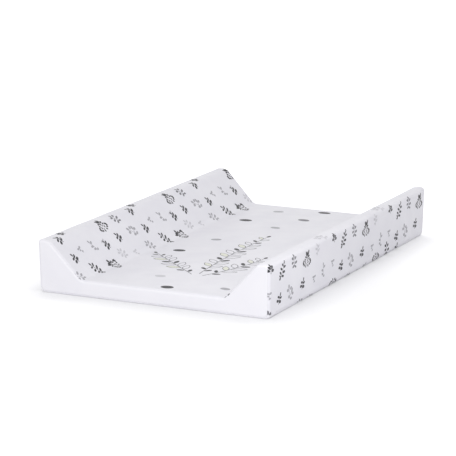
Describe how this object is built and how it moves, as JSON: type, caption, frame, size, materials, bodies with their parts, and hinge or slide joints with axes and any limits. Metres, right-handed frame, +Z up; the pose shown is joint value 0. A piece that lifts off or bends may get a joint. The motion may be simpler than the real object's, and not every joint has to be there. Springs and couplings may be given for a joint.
{
  "type": "changing mat",
  "caption": "Hard baby changing mat: a foam tray on a board in a welded film cover, with a wedge-shaped bolster along each long side and open short ends.",
  "frame": {"origin": "middle of the underside, on the surface that the mat rests on", "axes": "+X across the mat to the right, +Y along it to the rear end, +Z up"},
  "size_m": [0.5, 0.8, 0.1045],
  "materials": {
    "printed_film": "satin",
    "white_film": "satin",
    "foam": "matte",
    "hardboard": "matte"
  },
  "bodies": {
    "root": {"base_board": "hardboard", "centre_foam": "foam", "left_bolster_foam": "foam", "right_bolster_foam": "foam", "printed_cover": "printed_film", "front_end_panel": "white_film", "rear_end_panel": "white_film", "bottom_cover": "white_film"}
  },
  "joints": []
}
